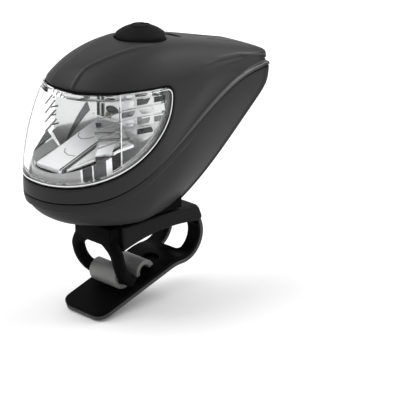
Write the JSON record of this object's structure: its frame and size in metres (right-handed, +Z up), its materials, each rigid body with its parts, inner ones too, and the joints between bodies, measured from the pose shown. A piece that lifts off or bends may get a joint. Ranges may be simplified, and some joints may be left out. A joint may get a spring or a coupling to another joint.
{
  "type": "bike headlight",
  "caption": "Handlebar bike headlight with a wide clear wraparound lens, a domed top button, a slide-off rail bracket and an elastic strap that hooks round the bar.",
  "frame": {"origin": "centre of the strap loop under the bracket arm, on the axis of the handlebar", "axes": "+Z up, -Y out along the beam, +X along the handlebar to the rider's left"},
  "size_m": [0.0486, 0.1018, 0.1029],
  "materials": {
    "shell_black": "fine matte texture",
    "gasket_rubber": "matte",
    "clear_lens": "clear polished",
    "mirror_coat": "vacuum-metallised mirror",
    "bright_aluminium": "satin",
    "led_phosphor": "satin",
    "board_green": "satin",
    "screw_steel": "satin",
    "inner_plastic": "matte",
    "button_rubber": "satin",
    "dark_window": "polished dark tint",
    "blue_light_pipe": "lit blue",
    "cell_sleeve": "satin sleeve",
    "lead_red": "satin",
    "flap_rubber": "matte",
    "bracket_black": "satin",
    "strap_rubber": "satin",
    "hook_grey": "satin"
  },
  "bodies": {
    "bracket": {"bracket_arm": "bracket_black", "bracket_yoke": "bracket_black", "strap_pin": "screw_steel", "strap_loop": "strap_rubber"},
    "head": {"upper_shell": "shell_black", "lower_shell": "shell_black", "seam_gasket": "gasket_rubber", "lens": "clear_lens", "lens_gasket": "gasket_rubber", "reflector": "mirror_coat", "led_shelf": "bright_aluminium", "led_emitter": "led_phosphor", "led_board": "bright_aluminium", "heat_sink": "bright_aluminium", "main_board": "board_green", "board_screws": "screw_steel", "switch_body": "inner_plastic", "sensor_window": "dark_window", "light_sensor": "inner_plastic", "light_pipes": "blue_light_pipe", "indicator_leds": "led_phosphor", "battery_cell": "cell_sleeve", "battery_cap": "inner_plastic", "battery_cradle": "inner_plastic", "battery_leads": "lead_red", "usb_socket": "screw_steel", "housing_screws": "screw_steel", "rail_shoe": "bracket_black", "shoe_screws": "screw_steel"},
    "button": {"power_button": "button_rubber", "switch_plunger": "inner_plastic"},
    "usb_cover": {"usb_flap": "flap_rubber"},
    "strap_tail": {"strap_tongue": "strap_rubber", "strap_hooks": "hook_grey"}
  },
  "joints": [
    {"name": "head_slide", "type": "slide", "parent": "bracket", "child": "head", "axis": [0, -1, 0], "range_m": [0, 0.03]},
    {"name": "button_press", "type": "slide", "parent": "head", "child": "button", "axis": [0, 0, -1], "range_m": [0, 0.0009], "stiffness_N_per_m": 600},
    {"name": "flap_hinge", "type": "hinge", "parent": "head", "child": "usb_cover", "pos_m": [0, 0.0433, 0.0596], "axis": [-1, 0, 0], "range_deg": [0, 100]},
    {"name": "strap_pull", "type": "slide", "parent": "bracket", "child": "strap_tail", "axis": [0, -0.9483, -0.3173], "range_m": [0, 0.0055], "stiffness_N_per_m": 2000}
  ]
}
